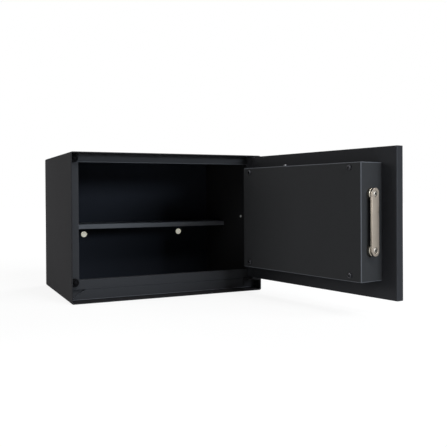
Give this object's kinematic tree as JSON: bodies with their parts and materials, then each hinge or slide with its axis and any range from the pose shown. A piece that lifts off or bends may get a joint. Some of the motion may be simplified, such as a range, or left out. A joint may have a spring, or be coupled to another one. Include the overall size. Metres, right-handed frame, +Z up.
{
  "type": "door safe",
  "caption": "Small sheet metal safe with one shelf and a swing door that carries a lock box, two round sliding bolts and a keypad.",
  "frame": {"origin": "centre of the case's underside, on the floor", "axes": "+Z up, +Y towards the back panel, +X to the right of someone facing the door side"},
  "size_m": [0.407, 0.5743, 0.25],
  "materials": {
    "case_paint": "satin powder coat",
    "door_paint": "satin powder coat",
    "nickel": "satin nickel plate",
    "zinc": "zinc plate",
    "black_screw": "black oxide",
    "bumper_rubber": "matt",
    "cream_plastic": "moulded",
    "black_plastic": "fine moulded texture",
    "key_plastic": "satin",
    "display": "gloss",
    "circuit": "solder mask",
    "battery_sleeve": "plain sleeve",
    "brass": "machined"
  },
  "bodies": {
    "case": {"case_shell": "case_paint", "back_panel": "case_paint", "front_frame": "case_paint", "toe_panel": "case_paint", "shelf": "case_paint", "shelf_bracket_left": "case_paint", "shelf_bracket_right": "case_paint", "bumper_top": "bumper_rubber", "bumper_bottom": "bumper_rubber", "anchor_plug_left": "cream_plastic", "anchor_plug_right": "cream_plastic", "wall_screw": "nickel", "hinge_pin_top": "black_screw", "hinge_pin_bottom": "black_screw", "hinge_bracket": "case_paint"},
    "door": {"door_pan": "door_paint", "door_back_plate": "door_paint", "hinge_block_bottom": "zinc", "hinge_block_top": "zinc", "lock_cover": "door_paint", "bolt_guide": "zinc", "cover_channel": "zinc", "cover_screw_hinge_top": "black_screw", "cover_screw_hinge_bottom": "black_screw", "cover_screw_free_top": "black_screw", "cover_screw_free_bottom": "black_screw", "cover_edge_screw": "nickel", "gear_motor": "zinc", "battery_tray": "black_plastic", "battery_1": "battery_sleeve", "battery_2": "battery_sleeve", "battery_3": "battery_sleeve", "battery_4": "battery_sleeve", "circuit_board": "circuit", "keypad_housing": "black_plastic", "display_lens": "display", "key_board": "circuit", "override_body": "nickel"},
    "bolt_work": {"bolt_top": "nickel", "bolt_bottom": "nickel", "bolt_bar": "nickel", "bar_screw_top": "zinc", "bar_screw_bottom": "zinc", "bolt_carrier": "zinc"},
    "pinion": {"drive_pinion": "brass"},
    "barrel": {"override_barrel": "brass"},
    "key_body_1": {"key_1": "key_plastic"},
    "key_body_2": {"key_2": "key_plastic"},
    "key_body_3": {"key_3": "key_plastic"},
    "key_body_4": {"key_4": "key_plastic"},
    "key_body_5": {"key_5": "key_plastic"},
    "key_body_6": {"key_6": "key_plastic"},
    "key_body_7": {"key_7": "key_plastic"},
    "key_body_8": {"key_8": "key_plastic"},
    "key_body_9": {"key_9": "key_plastic"},
    "key_body_clear": {"key_clear": "key_plastic"},
    "key_body_0": {"key_0": "key_plastic"},
    "key_body_lock": {"key_lock": "key_plastic"}
  },
  "joints": [
    {"name": "door_hinge", "type": "hinge", "parent": "case", "child": "door", "pos_m": [0.163, -0.1195, 0], "axis": [0, 0, 1], "range_deg": [-101, 9]},
    {"name": "bolt_slide", "type": "slide", "parent": "door", "child": "bolt_work", "axis": [0.1908, -0.9816, 0], "range_m": [0, 0.014]},
    {"name": "pinion_turn", "type": "hinge", "parent": "door", "child": "pinion", "pos_m": [0.17216, -0.3396, 0.1378], "axis": [-0.9816, -0.1908, 0], "range_deg": [-1, 101]},
    {"name": "override_turn", "type": "hinge", "parent": "door", "child": "barrel", "pos_m": [0.16171, -0.2858, 0.08], "axis": [-0.9816, -0.1908, 0], "range_deg": [0, 90]},
    {"name": "press_1", "type": "slide", "parent": "door", "child": "key_body_1", "axis": [-0.9816, -0.1908, 0], "range_m": [0, 0.0015], "stiffness_N_per_m": 300},
    {"name": "press_2", "type": "slide", "parent": "door", "child": "key_body_2", "axis": [-0.9816, -0.1908, 0], "range_m": [0, 0.0015], "stiffness_N_per_m": 300},
    {"name": "press_3", "type": "slide", "parent": "door", "child": "key_body_3", "axis": [-0.9816, -0.1908, 0], "range_m": [0, 0.0015], "stiffness_N_per_m": 300},
    {"name": "press_4", "type": "slide", "parent": "door", "child": "key_body_4", "axis": [-0.9816, -0.1908, 0], "range_m": [0, 0.0015], "stiffness_N_per_m": 300},
    {"name": "press_5", "type": "slide", "parent": "door", "child": "key_body_5", "axis": [-0.9816, -0.1908, 0], "range_m": [0, 0.0015], "stiffness_N_per_m": 300},
    {"name": "press_6", "type": "slide", "parent": "door", "child": "key_body_6", "axis": [-0.9816, -0.1908, 0], "range_m": [0, 0.0015], "stiffness_N_per_m": 300},
    {"name": "press_7", "type": "slide", "parent": "door", "child": "key_body_7", "axis": [-0.9816, -0.1908, 0], "range_m": [0, 0.0015], "stiffness_N_per_m": 300},
    {"name": "press_8", "type": "slide", "parent": "door", "child": "key_body_8", "axis": [-0.9816, -0.1908, 0], "range_m": [0, 0.0015], "stiffness_N_per_m": 300},
    {"name": "press_9", "type": "slide", "parent": "door", "child": "key_body_9", "axis": [-0.9816, -0.1908, 0], "range_m": [0, 0.0015], "stiffness_N_per_m": 300},
    {"name": "press_clear", "type": "slide", "parent": "door", "child": "key_body_clear", "axis": [-0.9816, -0.1908, 0], "range_m": [0, 0.0015], "stiffness_N_per_m": 300},
    {"name": "press_0", "type": "slide", "parent": "door", "child": "key_body_0", "axis": [-0.9816, -0.1908, 0], "range_m": [0, 0.0015], "stiffness_N_per_m": 300},
    {"name": "press_lock", "type": "slide", "parent": "door", "child": "key_body_lock", "axis": [-0.9816, -0.1908, 0], "range_m": [0, 0.0015], "stiffness_N_per_m": 300}
  ],
  "couplings": [
    {"joint": "pinion_turn", "follows": "bolt_slide", "rad_per_m": 125}
  ]
}
